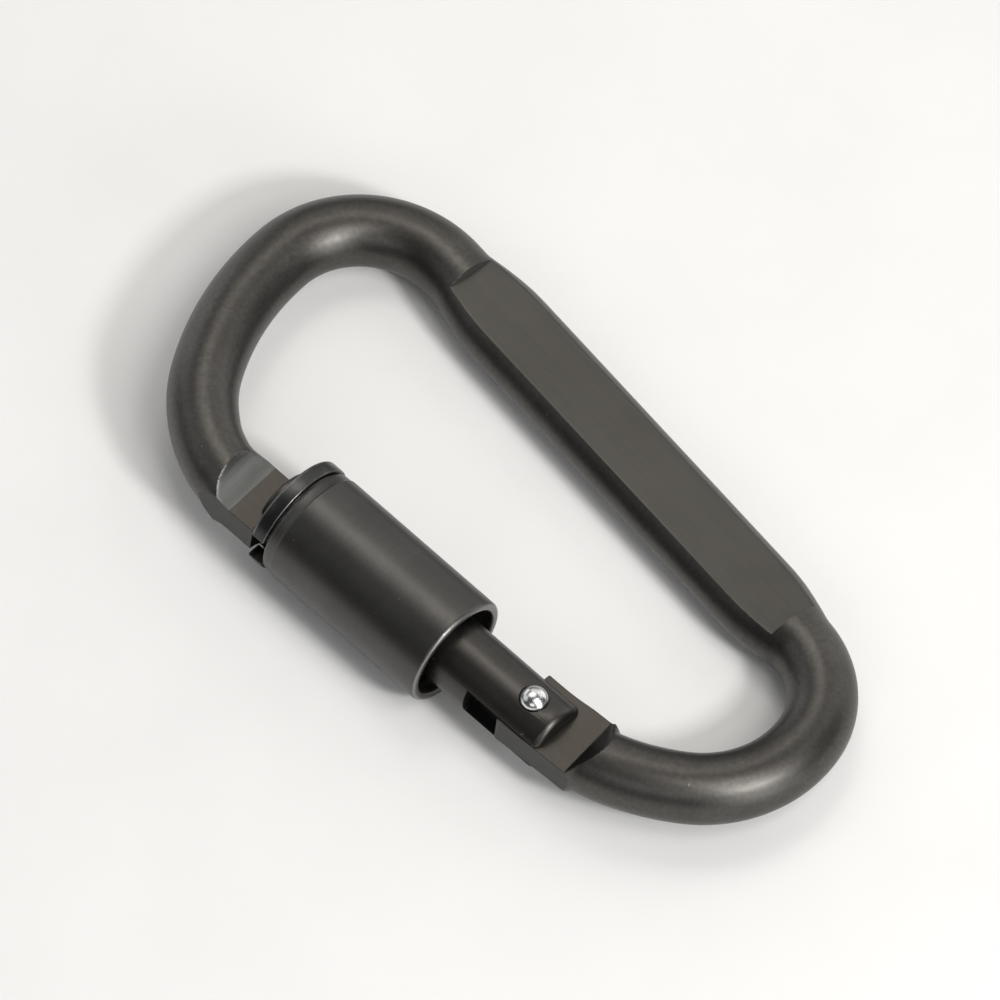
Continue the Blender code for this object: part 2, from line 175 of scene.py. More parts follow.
def milled(name, dark, light, rotation, r_lo, r_hi, pitch=22.0, stretch=0.02, strength=0.2, cross=0.0):
    """Cut or ground flats: very fine parallel lines along the local X after a turn about Z."""
    m, nt, b = nodes_of(name)
    v = coords(nt, (stretch, 1.0, 1.0), rotation)
    lines = noise(nt, v, pitch, 4.0, 0.7)
    broad = noise(nt, coords(nt, (stretch * 2, 1.0, 1.0), rotation), 3.0, 2.0, 0.5)
    patch = noise(nt, coords(nt), 0.16, 2.0, 0.5)
    specks = noise(nt, coords(nt), 6.0, 2.0, 0.5)
    base = ramp(nt, lines, [(0.25, dark), (0.75, light)])
    base = mixed(nt, remap(nt, broad, 0.35, 0.65, 0.0, 0.30), base, tuple(c * 0.86 for c in dark))
    base = mixed(nt, remap(nt, patch, 0.35, 0.65, 0.0, 0.25), base, tuple(c * 1.12 for c in light))
    base = mixed(nt, remap(nt, specks, 0.70, 0.80, 0.0, 0.35), base, tuple(c * 0.45 for c in dark))
    nt.links.new(base, b.inputs["Base Color"])
    nt.links.new(remap(nt, lines, 0.3, 0.7, r_lo, r_hi), b.inputs["Roughness"])
    b.inputs["Metallic"].default_value = 1.0
    bumped(nt, b, [(lines, strength)])
    return m


def turned_metal(name, dark, light, r_lo, r_hi, pitch=16.0, strength=0.12, rim_wear_and_highlight=(), rim_wear_and_highlight_color=(0.4, 0.39, 0.37), gain=1.0):
    """Lathe-turned anodised metal: fine rings round the gate's axis, satin, with pale bands at the rims that are rubbed
    wear plus a painted edge highlight.
    The pieces that use it are modelled with their own Z along that axis."""
    m, nt, b = nodes_of(name)
    rings = noise(nt, coords(nt, (0.03, 0.03, 1.0)), pitch, 4.0, 0.65)
    fine = noise(nt, coords(nt), 7.0, 3.0, 0.6)
    big = noise(nt, coords(nt), 0.25, 2.0, 0.5)
    speck = noise(nt, coords(nt), 1.15, 1.0, 0.4)
    base = ramp(nt, rings, [(0.25, dark), (0.75, light)])
    base = mixed(nt, remap(nt, big, 0.35, 0.65, 0.0, 0.35), base, tuple(c * 0.85 for c in dark))
    base = mixed(nt, remap(nt, fine, 0.62, 0.80, 0.0, 0.30), base, tuple(min(1, c * 1.7) for c in light))
    base = mixed(nt, remap(nt, speck, 0.785, 0.80, 0.0, 0.6), base, (0.34, 0.33, 0.31))
    # pale bands at the listed heights: rubbed rim wear with a painted edge highlight on top
    if rim_wear_and_highlight:
        tc = node(nt, "ShaderNodeTexCoord")
        sep = node(nt, "ShaderNodeSeparateXYZ")
        nt.links.new(tc.outputs["Object"], sep.inputs[0])
        wob = math_node(nt, "MULTIPLY", remap(nt, fine, 0.3, 0.7, -0.05, 0.05), MM)
        z = math_node(nt, "ADD", sep.outputs["Z"], wob)
        for at, width, amount in rim_wear_and_highlight:
            d = math_node(nt, "ABSOLUTE", math_node(nt, "SUBTRACT", z, at * MM))
            base = mixed(nt, remap(nt, d, width * MM * 0.35, width * MM, amount, 0.0), base, rim_wear_and_highlight_color)
    nt.links.new(base, b.inputs["Base Color"])
    nt.links.new(remap(nt, fine, 0.3, 0.7, r_lo, r_hi), b.inputs["Roughness"])
    b.inputs["Metallic"].default_value = 1.0
    bumped(nt, b, [(rings, strength), (fine, strength * 0.8)])
    return m


def steel(name, color, r_lo, r_hi, scale=2.0, strength=0.05):
    m, nt, b = nodes_of(name)
    v = coords(nt)
    n1 = noise(nt, v, scale, 4.0, 0.6)
    n2 = noise(nt, v, 14.0, 3.0, 0.6)
    base = ramp(nt, n1, [(0.3, tuple(c * 0.80 for c in color)), (0.7, color)])
    nt.links.new(base, b.inputs["Base Color"])
    nt.links.new(remap(nt, n2, 0.3, 0.7, r_lo, r_hi), b.inputs["Roughness"])
    b.inputs["Metallic"].default_value = 1.0
    bumped(nt, b, [(n1, strength), (n2, strength * 0.6)])
    return m


ROD = blasted("rod_blasted", (0.083, 0.079, 0.074), (0.113, 0.109, 0.102), 0.36, 0.44, strength=0.36)
FLAT = milled("spine_milled", (0.074, 0.0715, 0.066), (0.097, 0.094, 0.087), 0.0, 0.36, 0.46, strength=0.10)
TONGUE = milled("tongue_milled", (0.076, 0.070, 0.062), (0.098, 0.090, 0.080), math.radians(-8), 0.36, 0.48, pitch=16.0, stretch=0.08, strength=0.14)
# scoop: lighter than the other milled faces; the extra lightness is painted highlight, while the fine lines are milling
# marks
SCOOP = milled("scoop_milled_painted_highlight", (0.137, 0.141, 0.137), (0.188, 0.194, 0.188), math.radians(-98.8), 0.44, 0.54, pitch=12.0, stretch=0.04, strength=0.16)
# milled sides: darker than the tongue flats; the extra darkness is painted shade, while the fine lines are milling
# marks
SIDE = milled("tongue_side_painted_shade", (0.054, 0.054, 0.0525), (0.0755, 0.0755, 0.073), math.radians(-7), 0.40, 0.5, pitch=12.0, stretch=0.1, strength=0.15)
GATE_MAT = turned_metal("gate_anodised_turned", (0.070, 0.067, 0.063), (0.094, 0.090, 0.085), 0.33, 0.42, strength=0.08)
# sleeve and ring: the pale bands at their rims are rubbed wear with a painted edge highlight
SLEEVE_MAT = turned_metal("sleeve_anodised_turned", (0.088, 0.086, 0.083), (0.117, 0.114, 0.110), 0.36, 0.45, strength=0.10,
                          rim_wear_and_highlight=((30.5, 0.12, 0.55), (10.18, 0.14, 0.5)))
RING_MAT = turned_metal("ring_anodised_turned", (0.062, 0.062, 0.063), (0.084, 0.084, 0.085), 0.30, 0.38, strength=0.08,
                        rim_wear_and_highlight=((32.20, 0.12, 0.35), (30.86, 0.08, 0.25)))
STEEL_MAT = steel("rivet_polished", (0.86, 0.86, 0.87), 0.20, 0.30)
PIN_MAT = steel("pin_ground", (0.60, 0.60, 0.61), 0.20, 0.30, strength=0.1)
SPRING_MAT = steel("spring_wire", (0.42, 0.41, 0.40), 0.26, 0.38, 5.0, 0.12)


# =========================================================================== shapes
def put(name, mesh, matrix, mats, coll=None):
    ob = bpy.data.objects.new(name, mesh)
    (coll or PIECES).objects.link(ob)
    ob.matrix_world = matrix
    for m in mats:
        ob.data.materials.append(m)
    return ob


def tool(name, mesh, matrix):
    ob = bpy.data.objects.new(name, mesh)
    TOOLS.objects.link(ob)
    ob.matrix_world = matrix
    return ob


def spun(name, profile, matrix, mats, steps=128, closed=False):
    """A profile of (radius, height) in mm spun about local Z; closed profiles make rings."""
    bm = bmesh.new()
    loops = []
    for r, z in profile:
        if r < 1e-6:
            loops.append([bm.verts.new((0, 0, z * MM))] * steps)
        else:
            loops.append([bm.verts.new((r * math.cos(math.tau * i / steps) * MM, r * math.sin(math.tau * i / steps) * MM, z * MM)) for i in range(steps)])
    pairs = list(zip(loops, loops[1:]))
    if closed:
        pairs.append((loops[-1], loops[0]))
    for a, b in pairs:
        for i in range(steps):
            j = (i + 1) % steps
            q = []
            for v in (a[i], b[i], b[j], a[j]):
                if v not in q:
                    q.append(v)
            if len(q) > 2:
                bm.faces.new(q)
    bmesh.ops.recalc_face_normals(bm, faces=bm.faces)
    mesh = bpy.data.meshes.new(name)
    bm.to_mesh(mesh)
    bm.free()
    return put(name, mesh, matrix, mats)


def arc(cx, cz, r, a0, a1, n=5):
    """Profile points on a circle, angles in degrees from +radius towards +height."""
    return [(cx + r * math.cos(math.radians(a0 + (a1 - a0) * i / n)), cz + r * math.sin(math.radians(a0 + (a1 - a0) * i / n))) for i in range(n + 1)]


def cyl(name, r, z0, z1, matrix, segments=64):
    bm = bmesh.new()
    bmesh.ops.create_cone(bm, cap_ends=True, segments=segments, radius1=r * MM, radius2=r * MM, depth=(z1 - z0) * MM,
                          matrix=Matrix.Translation((0, 0, 0.5 * (z0 + z1) * MM)))
    mesh = bpy.data.meshes.new(name)
    bm.to_mesh(mesh)
    bm.free()
    return tool(name, mesh, matrix)


def prism(name, outline, lo, hi, matrix):
    """An outline in local XY, mm, between two heights along local Z."""
    bm = bmesh.new()
    a = [bm.verts.new((x * MM, y * MM, lo * MM)) for x, y in outline]
    b = [bm.verts.new((x * MM, y * MM, hi * MM)) for x, y in outline]
    bm.faces.new(a)
    bm.faces.new(b)
    for i in range(len(a)):
        j = (i + 1) % len(a)
        bm.faces.new((a[i], a[j], b[j], b[i]))
    bmesh.ops.recalc_face_normals(bm, faces=bm.faces)
    mesh = bpy.data.meshes.new(name)
    bm.to_mesh(mesh)
    bm.free()
    return tool(name, mesh, matrix)


def apply_all(ob):
    bpy.context.view_layer.update()
    ev = ob.evaluated_get(bpy.context.evaluated_depsgraph_get())
    mesh = bpy.data.meshes.new_from_object(ev)
    old = ob.data
    ob.modifiers.clear()
    ob.data = mesh
    bpy.data.meshes.remove(old)
    return ob


def cut(ob, tools):
    for t in tools:
        m = ob.modifiers.new("cut", "BOOLEAN")
        m.operation = "DIFFERENCE"
        m.solver = "EXACT"
        m.object = t
    apply_all(ob)
    for t in tools:
        bpy.data.objects.remove(t, do_unlink=True)
    return ob


def soften(ob, width, segments=2, angle=32.0, profile=0.5):
    bm = bmesh.new()
    bm.from_mesh(ob.data)
    bmesh.ops.remove_doubles(bm, verts=bm.verts, dist=2e-7)
    bmesh.ops.dissolve_limit(bm, angle_limit=math.radians(0.4), use_dissolve_boundaries=False, verts=bm.verts, edges=bm.edges,
                             delimit={"MATERIAL"})
    bm.to_mesh(ob.data)
    bm.free()
    b = ob.modifiers.new("soft_edges", "BEVEL")
    b.width = width * MM
    b.segments = segments
    b.limit_method = "ANGLE"
    b.angle_limit = math.radians(angle)
    b.profile = profile
    b.use_clamp_overlap = False
    b.miter_outer = "MITER_ARC"
    apply_all(ob)
    shade(ob)
    w = ob.modifiers.new("even_normals", "WEIGHTED_NORMAL")
    w.mode = "FACE_AREA"
    w.weight = 50
    w.keep_sharp = True
    return apply_all(ob)


def shade(ob, angle=38.0):
    ob.data.shade_smooth()
    ob.data.set_sharp_from_angle(angle=math.radians(angle))
    return ob


def smooth(t):
    t = np.clip(t, 0.0, 1.0)
    return t * t * (3 - 2 * t)


# --------------------------------------------------------------------------- frame
NOSE_ARCS = [(10.96, 96.7), (29.56, 30.1), (15.12, 60.0)]
HINGE_ARCS = [(9.555, 71.1), (12.606, 64.2), (24.816, 37.9)]
SPINE_X0, SPINE_X1 = -21.23, 31.69
FLAT_X0, FLAT_X1, FLAT_Z = -18.8, 30.5, 2.5
TONGUE_Z = 1.6
NOSE_N0, NOSE_N1 = -1.6, 5.32
BLADE_N1, BLADE_TIP_S, SHOULDER_S, HINGE_TIP_S = 4.20, 31.2, 32.42, 1.6
SCOOP_R, NOSE_FLAT_S, NOSE_FLAT_N, NOSE_FLAT_TURN = 3.5, 35.9, 2.0, math.radians(2.4)
HINGE_FLAT = (29.3, -24.8, math.radians(12.1))
HINGE_SIDE = (21.25, -26.15, math.radians(9.5), 3.72)


def path_at(u):
    """Point and heading on the rod's centreline. u = 0 is the spine's nose end, u grows along
    the spine to the hinge end and on round to the rivet; negative u runs round the nose end."""
    if 0 <= u <= SPINE_X1 - SPINE_X0:
        return np.array([SPINE_X0 + u, 0.0]), 0.0
    if u < 0:
        d, p, h, side, arcs = -u, np.array([SPINE_X0, 0.0]), math.pi, 1, NOSE_ARCS
    else:
        d, p, h, side, arcs = u - (SPINE_X1 - SPINE_X0), np.array([SPINE_X1, 0.0]), 0.0, -1, HINGE_ARCS
    for r, deg in arcs:
        length = r * math.radians(deg)
        step = min(d, length)
        c = p + np.array([-math.sin(h), math.cos(h)]) * r * side
        h2 = h + side * step / r
        p = c + np.array([math.sin(h2), -math.cos(h2)]) * r * side
        h = h2
        d -= step
        if d <= 1e-12:
            break
    if d > 0:
        p = p + np.array([math.cos(h), math.sin(h)]) * d
    return p, (h + math.pi if u < 0 else h)          # heading of growing u


def gate_sn(x, y):
    c, s = math.cos(GATE_HEADING), math.sin(GATE_HEADING)
    dx, dy = x - RIVET[0], y - RIVET[1]
    return dx * c + dy * s, -dx * s + dy * c


def local_xy(x, y, ox, oy, a):
    c, s = math.cos(a), math.sin(a)
    dx, dy = x - ox, y - oy
    return dx * c + dy * s, -dx * s + dy * c


def smax(a, b, k):
    h = np.clip(0.5 + 0.5 * (a - b) / k, 0, 1)
    return a * h + b * (1 - h) + k * h * (1 - h)


BIG = 20.0


def field(x, y, z, lat, end):
    """Signed distance-like value of the rod's surface: <0 inside. lat is the distance from the
    centreline in the rod's plane, end is -1, 0 or 1 for the nose half, the spine and the hinge half.
    Also returns which surface is met: 0 rod, 1 spine flat, 2 tongue flat, 3 scoop, 4 milled side."""
    az = np.abs(z)
    s, n = gate_sn(x, y)
    wide = np.ones_like(x)
    thick = np.ones_like(x)
    # the rod is widened where it was pressed: along the spine and at both tongues
    ramp_ = np.clip(np.minimum((x - FLAT_X0 + 0.8) / 7.0, (FLAT_X1 + 1.4 - x) / 7.0), 0, 1)
    if end == 0:
        wide = 1 + 0.31 * np.sin(0.5 * np.pi * ramp_)
    elif end > 0:
        wide = 1 + 0.36 * smooth((7.9 + s) / 1.5) * (y < -12) + 0.31 * np.sin(0.5 * np.pi * ramp_) * (y > -4.7)
    else:
        wide = 1 + 0.18 * smooth((40.0 - s) / 3.5) * (y < -12)
    a, b = ROD_R * wide, ROD_R * thick
    rr = np.sqrt((lat / a) ** 2 + (az / b) ** 2)
    f = (rr - 1) * np.sqrt(lat ** 2 + az ** 2) / np.maximum(rr, 1e-6)
    kind = np.zeros(x.shape, int)

    def clip(f, g, k, label):
        kind[g > f] = label
        return smax(f, g, k)

    if end == 0:
        # pressed flats; steep end walls with a small root radius
        d = np.maximum(FLAT_X0 - x, x - FLAT_X1)          # >0 outside the flat's length
        lift = np.where(d > 0, BIG, np.where(d > -0.12, (d + 0.12) / 0.12 * 1.25, 0.0))
        lift = lift + np.where((d > -0.45) & (d <= 0), 0.06 * ((d + 0.45) / 0.45) ** 2, 0)
        f = clip(f, az - (FLAT_Z + lift), 0.05, 1)
    elif end < 0:
        ox, oy = RIVET[0] + NOSE_FLAT_S * math.cos(GATE_HEADING) - NOSE_FLAT_N * math.sin(GATE_HEADING), \
            RIVET[1] + NOSE_FLAT_S * math.sin(GATE_HEADING) + NOSE_FLAT_N * math.cos(GATE_HEADING)
        u, w = local_xy(x, y, ox, oy, GATE_HEADING + NOSE_FLAT_TURN)
        near = y < -14
        rise = SCOOP_R - np.sqrt(np.maximum(SCOOP_R ** 2 - np.clip(u, 0, SCOOP_R) ** 2, 0))
        h = np.where(near & (u < SCOOP_R - 0.02), TONGUE_Z + rise, BIG)
        g = az - h
        g = np.where(near & (u > 0) & (u < SCOOP_R + 0.6), np.maximum(SCOOP_R - np.sqrt(u ** 2 + (az - TONGUE_Z - SCOOP_R) ** 2), -BIG), g)
        g = np.where(az > TONGUE_Z + SCOOP_R, BIG * 0 + g, g)
        f = clip(f, g, 0.05, 2)
        kind[(kind == 2) & (u > 0.02)] = 3
        f = clip(f, np.where(near, n - NOSE_N1, -BIG), 0.06, 4)
        inner = np.where(near & (s < 36.7), NOSE_N0 - n, np.where(near & (s < 37.3), NOSE_N0 - n - (s - 36.7) * 1.4, -BIG))
        f = clip(f, inner, 0.06, 4)
        blade = np.where(near & (s < SHOULDER_S), n - BLADE_N1, -BIG)
        f = clip(f, blade, 0.04, 4)
    else:
        u, w = local_xy(x, y, *HINGE_FLAT)
        near = y < -14
        h = np.where(u < 0, TONGUE_Z, TONGUE_Z + 0.86 * u + 0.085 * u ** 2)
        g = np.where(near, np.where(u < 0, az - h, (az - h) * 0.74), -BIG)
        f = clip(f, g, 0.045, 2)
        kind[(kind == 2) & (u > 0.0)] = 5
        u2, w2 = local_xy(x, y, *HINGE_SIDE[:3])
        f = clip(f, np.where(near & (u2 < 9.4), np.abs(w2) - HINGE_SIDE[3], -BIG), 0.06, 4)
    return f, kind


def station_list():
    """Stations u along the centreline for every ring, close together at steps and even elsewhere; also the spine's span
    and the nose and hinge half lengths.
    """
    span = SPINE_X1 - SPINE_X0
    nose_len = sum(r * math.radians(d) for r, d in NOSE_ARCS)
    hinge_len = sum(r * math.radians(d) for r, d in HINGE_ARCS)
    us = set()

    def fill(a, b, step):
        n = max(1, int(round((b - a) / step)))
        for i in range(n + 1):
            us.add(round(a + (b - a) * i / n, 4))

    f0, f1 = FLAT_X0 - SPINE_X0, FLAT_X1 - SPINE_X0
    fill(0, f0 - 0.3, 0.45)
    for d in (-0.3, -0.15, -0.06, -0.02, 0.02, 0.06, 0.09, 0.12, 0.16, 0.24, 0.35, 0.5, 0.75):
        us.add(round(f0 + d, 4))
        us.add(round(f1 - d, 4))
    fill(f0 + 0.75, f1 - 0.75, 0.8)
    fill(f1 + 0.3, span, 0.45)
    fill(span, span + hinge_len - 10.5, 0.42)
    fill(span + hinge_len - 10.5, span + hinge_len - 5.2, 0.12)
    fill(span + hinge_len - 5.2, span + hinge_len + 0.2, 0.5)
    fill(-(nose_len - 8.0), 0, 0.42)
    fill(-(nose_len + 0.6), -(nose_len - 8.0), 0.14)
    fill(-(nose_len + 4.0), -(nose_len + 0.6), 0.3)
    return sorted(us), span, nose_len, hinge_len


def make_frame():
    us, span, nose_len, hinge_len = station_list()
    rings = []                                  # (u, point, ring heading, path heading, end)
    for u in us:
        p, h = path_at(u)
        turn = 0.0
        s, n = gate_sn(*p)
        end = 0 if -1e-6 <= u <= span + 1e-6 else (1 if u > span else -1)
        if end > 0 and p[1] < -14:
            want = HINGE_FLAT[2] + math.pi
            want_tip = GATE_HEADING
            blend = float(smooth((s + 15.0) / 5.5))
            k = float(smooth((s + 5.5) / 4.0))
            target = want * (1 - k) + want_tip * k
            hh = h % math.tau
            turn = (target - hh) * blend
        if end < 0 and p[1] < -14:
            # heading of growing u on the nose half points away from the tip
            want = GATE_HEADING + NOSE_FLAT_TURN
            k = float(smooth((35.3 - s) / 1.8))
            target = want * (1 - k) + GATE_HEADING * k
            hh = h % math.tau
            blend = float(smooth((46.0 - s) / 5.5))
            turn = (target - hh) * blend
        rings.append((u, p, h, turn, end))
    # close each end at a plane across the gate's axis
    tip = []
    nu = -(nose_len + 4.0)
    while True:
        p, h = path_at(nu)
        s, n = gate_sn(*p)
        if s < BLADE_TIP_S + 0.02:
            break
        tip.append(nu)
        nu -= 0.16
    for u in tip[1:]:
        p, h = path_at(u)
        rings.insert(0, (u, p, h, (GATE_HEADING - h % math.tau), -1))
    hu = span + hinge_len + 0.2
    tip = []
    while True:
        hu += 0.3
        p, h = path_at(hu)
        s, n = gate_sn(*p)
        if s > HINGE_TIP_S - 0.15:
            break
        tip.append(hu)
    for u in tip:
        p, h = path_at(u)
        rings.append((u, p, h, (GATE_HEADING - h % math.tau), 1))

    def on_axis(s_target, u_guess, end):
        u = u_guess
        for _ in range(30):
            p, h = path_at(u)
            s, n = gate_sn(*p)
            u += (s_target - s) * (1 if end > 0 else -1) * -1 * (-1 if end > 0 else -1)
        return u

    fine, count = 360, 104
    th = (np.arange(fine) + 0.5) / fine * math.tau
    ct, sn_ = np.cos(th), np.sin(th)
    radius = np.zeros((len(rings), fine))
    for i, (u, p, h, turn, end) in enumerate(rings):
        hr = h + turn
        out = np.array([math.sin(hr), -math.cos(hr)])       # across the ring, in the plane
        tilt = math.cos(turn)

        def f_at(r):
            t = r * ct
            x, y, z = p[0] + out[0] * t, p[1] + out[1] * t, r * sn_
            return field(x, y, z, np.abs(t) * tilt, end)[0]

        lo_r, hi_r = np.full(fine, 0.5), np.full(fine, 6.5)
        for _ in range(24):
            mid = 0.5 * (lo_r + hi_r)
            inside = f_at(mid) < 0
            lo_r = np.where(inside, mid, lo_r)
            hi_r = np.where(inside, hi_r, mid)
        radius[i] = 0.5 * (lo_r + hi_r)
    # angles: denser where the section turns sharply, the same rule on neighbouring rings
    x, z = radius * ct, radius * sn_
    dx, dz = np.roll(x, -1, 1) - np.roll(x, 1, 1), np.roll(z, -1, 1) - np.roll(z, 1, 1)
    ang = np.unwrap(np.arctan2(dz, dx), axis=1)
    bend = np.abs(np.angle(np.exp(1j * (np.roll(ang, -1, 1) - np.roll(ang, 1, 1)))))
    weight = 1.0 + 26.0 * np.clip(bend - 0.075, 0, 0.8)
    kern = np.array([1, 2, 3, 2, 1.0]) / 9
    weight = sum(k * np.roll(weight, j - 2, 1) for j, k in enumerate(kern))
    wk = weight.copy()
    for j in range(1, 7):
        wk[j:] += weight[:-j]
        wk[:-j] += weight[j:]
        wk[:j] += weight[0]
        wk[-j:] += weight[-1]
    weight = wk / 13
    # keep the mid-plane and the crown on fixed vertices: share the count out by quadrant
    quarter = count // 4
    verts, idx = [], []
    for i, (u, p, h, turn, end) in enumerate(rings):
        hr = h + turn
        out = np.array([math.sin(hr), -math.cos(hr)])
        tilt = math.cos(turn)
        angles = []
        for q in range(4):
            seg = slice(q * fine // 4, (q + 1) * fine // 4)
            cum = np.concatenate([[0], np.cumsum(weight[i][seg])])
            grid = np.linspace(q * math.pi / 2, (q + 1) * math.pi / 2, fine // 4 + 1)
            angles += list(np.interp(np.arange(quarter) / quarter * cum[-1], cum, grid))
        angles = np.array(angles)
        ca, sa = np.cos(angles), np.sin(angles)
        lo_r, hi_r = np.full(count, 0.5), np.full(count, 6.5)
        for _ in range(26):
            mid = 0.5 * (lo_r + hi_r)
            t = mid * ca
            inside = field(p[0] + out[0] * t, p[1] + out[1] * t, mid * sa, np.abs(t) * tilt, end)[0] < 0
            lo_r = np.where(inside, mid, lo_r)
            hi_r = np.where(inside, hi_r, mid)
        r = 0.5 * (lo_r + hi_r)
        verts.append(np.stack([p[0] + out[0] * r * ca, p[1] + out[1] * r * ca, r * sa], 1))
    return rings, verts, count


def build_frame():
    rings, verts, count = make_frame()
    bm = bmesh.new()
    loops = [[bm.verts.new(Vector(v) * MM) for v in ring] for ring in verts]
    # shallow chamfered end caps
    for end, ring, data in ((0, loops[0], rings[0]), (1, loops[-1], rings[-1])):
        p, hr = data[1], data[2] + data[3]
        d = np.array([math.cos(hr), math.sin(hr)]) * (-1 if end == 0 else 1)
        s0, _ = gate_sn(*p)
        goal = BLADE_TIP_S if end == 0 else HINGE_TIP_S
        gap = abs(goal - s0)
        c = Vector((p[0] * MM, p[1] * MM, 0))
        out = []
        for k, (f, sh) in enumerate(((0.7, 1.0), (0.92, 0.985), (1.0, 0.955))):
            loop = []
            for v in ring:
                co = c + (v.co - c) * sh + Vector((d[0], d[1], 0)) * gap * f * MM
                loop.append(bm.verts.new(co))
            out.append(loop)
        if end == 0:
            loops = out[::-1] + loops
        else:
            loops = loops + out
    bm.verts.ensure_lookup_table()
    for a, b in zip(loops, loops[1:]):
        for i in range(count):
            j = (i + 1) % count
            bm.faces.new((a[i], b[i], b[j], a[j]))
    bm.faces.new(loops[0])
    bm.faces.new(list(reversed(loops[-1])))
    bmesh.ops.recalc_face_normals(bm, faces=bm.faces)
    # material by the surface met
    for f in bm.faces:
        c = f.calc_center_median() / MM
        x, y, z = np.array([c.x]), np.array([c.y]), np.array([c.z])
        nz = abs(f.normal.z)
        s, n = gate_sn(c.x, c.y)
        slot = 0
        if abs(c.y) < 4.2 and FLAT_X0 - 0.01 < c.x < FLAT_X1 + 0.01 and nz > 0.985:
            slot = 1
        elif abs(c.y) < 4.2 and FLAT_X0 - 2.5 < c.x < FLAT_X0 + 0.8 and abs(c.z) < 3.45 and f.normal.x > 0.3:
            slot = 3
        elif c.y < -14:
            if s > 20:
                ox = RIVET[0] + NOSE_FLAT_S * math.cos(GATE_HEADING) - NOSE_FLAT_N * math.sin(GATE_HEADING)
                oy = RIVET[1] + NOSE_FLAT_S * math.sin(GATE_HEADING) + NOSE_FLAT_N * math.cos(GATE_HEADING)
                u, w = local_xy(c.x, c.y, ox, oy, GATE_HEADING + NOSE_FLAT_TURN)
                if u < 0.02 and nz > 0.97:
                    slot = 2
                elif 0.0 < u < 3.45:
                    h = TONGUE_Z + SCOOP_R - math.sqrt(max(0, SCOOP_R ** 2 - u * u))
                    if abs(abs(c.z) - h) < 0.05:
                        slot = 3
                if slot == 0 and (abs(n - NOSE_N1) < 0.03 or (s < 37.4 and abs(n - NOSE_N0) < 0.25) or s < 31):
                    slot = 4
            else:
                u, w = local_xy(c.x, c.y, *HINGE_FLAT)
                if u < 0.05 and nz > 0.97:
                    slot = 2
                elif u >= 0.0 and abs(abs(c.z) - (TONGUE_Z + 0.86 * u + 0.085 * u * u)) < 0.06 and nz < 0.9 and u < 2.3:
                    slot = 5
                else:
                    u2, w2 = local_xy(c.x, c.y, *HINGE_SIDE[:3])
                    if u2 < 9.5 and abs(abs(w2) - HINGE_SIDE[3]) < 0.03 or s > HINGE_TIP_S - 0.3:
                        slot = 4
        f.material_index = slot
    mesh = bpy.data.meshes.new("frame_body")
    bm.to_mesh(mesh)
    bm.free()
    ob = put("frame_body", mesh, BASE, [ROD, FLAT, TONGUE, SCOOP, SIDE, RUNOUT])
    hook = [(32.45 + 0.62, -5.0)] + [(32.45 + 0.62 * math.cos(math.pi * i / 16), -0.6 + 0.62 * math.sin(math.pi * i / 16)) for i in range(17)] + [(32.45 - 0.62, -5.0)]
    cut(ob, [cyl("t_rivet", 1.27, -5, 5, GATE, 48), prism("t_hook", hook, -5, 5, GATE)])
    return shade(ob, 40)


# hinge runout: the sloped face at the flat's hinge end is darker than the tongue flats; that darkness is painted shade,
# while the fine lines are milling marks
RUNOUT = milled("hinge_runout_painted_shade", (0.045, 0.043, 0.040), (0.062, 0.060, 0.055), math.radians(-102), 0.34, 0.44, pitch=12.0, stretch=0.06, strength=0.2)
body = build_frame()
for v in body.data.vertices:
    v.co.x = (v.co.x - CX * MM) * 0.999 + CX * MM
    v.co.y = (v.co.y - CY * MM) * 0.9994 + CY * MM
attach(body, "frame")
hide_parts("frame")

# --------------------------------------------------------------------------- gate
GROOVE = (12.02, 12.62, 3.22)
gate_profile = [(0, 33.6), (3.32, 33.6)] + arc(3.32, 33.27, 0.33, 90, 0, 5)[1:] + [(3.65, GROOVE[1] + 0.05), (3.60, GROOVE[1]), (GROOVE[2], GROOVE[1]),
    (GROOVE[2], GROOVE[0]), (3.60, GROOVE[0]), (3.65, GROOVE[0] - 0.05)] + arc(2.95, -2.80, 0.70, 0, -90, 8) + [(0, -3.5)]
gate = spun("gate_bar", gate_profile, TURN, [GATE_MAT], 128)
cut(gate, [
    prism("t_slot", [(-6, -6), (5.7, -6), (5.7, 6), (-6, 6)], -EAR_GAP, EAR_GAP, GATE),
    prism("t_fork", [(30.2, -6), (36, -6), (36, 6), (30.2, 6)], -EAR_GAP, EAR_GAP, GATE),
    cyl("t_shank", 1.21, -6, 6, GATE, 48),
    cyl("t_face_a", 1.48, 3.29, 6, GATE, 64), cyl("t_face_b", 1.48, -6, -3.29, GATE, 64),
    cyl("t_latch", 0.56, -3.05, 3.05, GATE @ Matrix.Translation((32.45 * MM, -0.6 * MM, 0)), 32),
    cyl("t_bore", 1.38, 4, 17.0, TURN, 48),
    cyl("t_guide", 0.66, 2.6, 6, GATE @ Matrix.Translation((25.4 * MM, 0, 0)) @ Matrix.Rotation(math.radians(90), 4, "X"), 32)])
soften(gate, 0.055)
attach(gate, "gate")
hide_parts("gate")

# --------------------------------------------------------------------------- rivet
half = [(0, 4.5)] + [(1.40 * math.sin(math.radians(a)), 3.46 + 1.04 * math.cos(math.radians(a))) for a in range(6, 91, 6)] + [(1.385, 3.40), (1.34, 3.36), (1.15, 3.36)]
rivet = spun("rivet_domed", half + [(r, -z) for r, z in reversed(half)], GATE, [STEEL_MAT], 64)
shade(rivet)
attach(rivet, "gate")
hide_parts("hinge_rivet")

